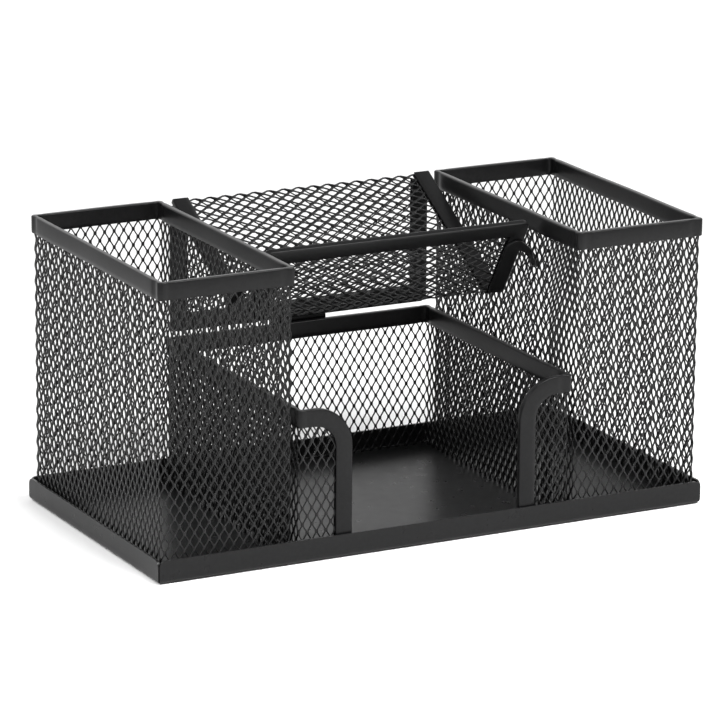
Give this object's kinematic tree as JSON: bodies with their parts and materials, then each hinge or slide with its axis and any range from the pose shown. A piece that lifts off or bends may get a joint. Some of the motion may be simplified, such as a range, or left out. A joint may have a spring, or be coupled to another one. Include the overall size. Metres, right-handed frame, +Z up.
{
  "type": "desk organizer",
  "caption": "Desk organizer of black metal mesh: a tall pen cup at each end, a memo box with a cut-away front between them, a V-shaped tray above it and a sheet-metal base.",
  "frame": {"origin": "centre of the base's underside", "axes": "+X to the right along the front, +Y to the rear, +Z up"},
  "size_m": [0.205, 0.105, 0.1013],
  "materials": {
    "mesh_coat": "black powder coat on expanded-metal mesh, satin",
    "strip_coat": "black powder coat on folded strip, satin with a soft highlight along the fold",
    "base_coat": "black powder coat on smooth sheet, satin"
  },
  "bodies": {
    "root": {"base_tray": "base_coat", "left_cup_mesh": "mesh_coat", "left_cup_rim": "strip_coat", "right_cup_mesh": "mesh_coat", "right_cup_rim": "strip_coat", "memo_box_mesh": "mesh_coat", "memo_box_rim": "strip_coat", "tray_mesh": "mesh_coat", "tray_rear_frame": "strip_coat", "tray_left_slope_strip": "strip_coat", "tray_right_slope_strip": "strip_coat", "tray_lip_frame": "strip_coat", "tray_left_hook": "strip_coat", "tray_right_hook": "strip_coat", "tray_joining_plate": "strip_coat"}
  },
  "joints": []
}
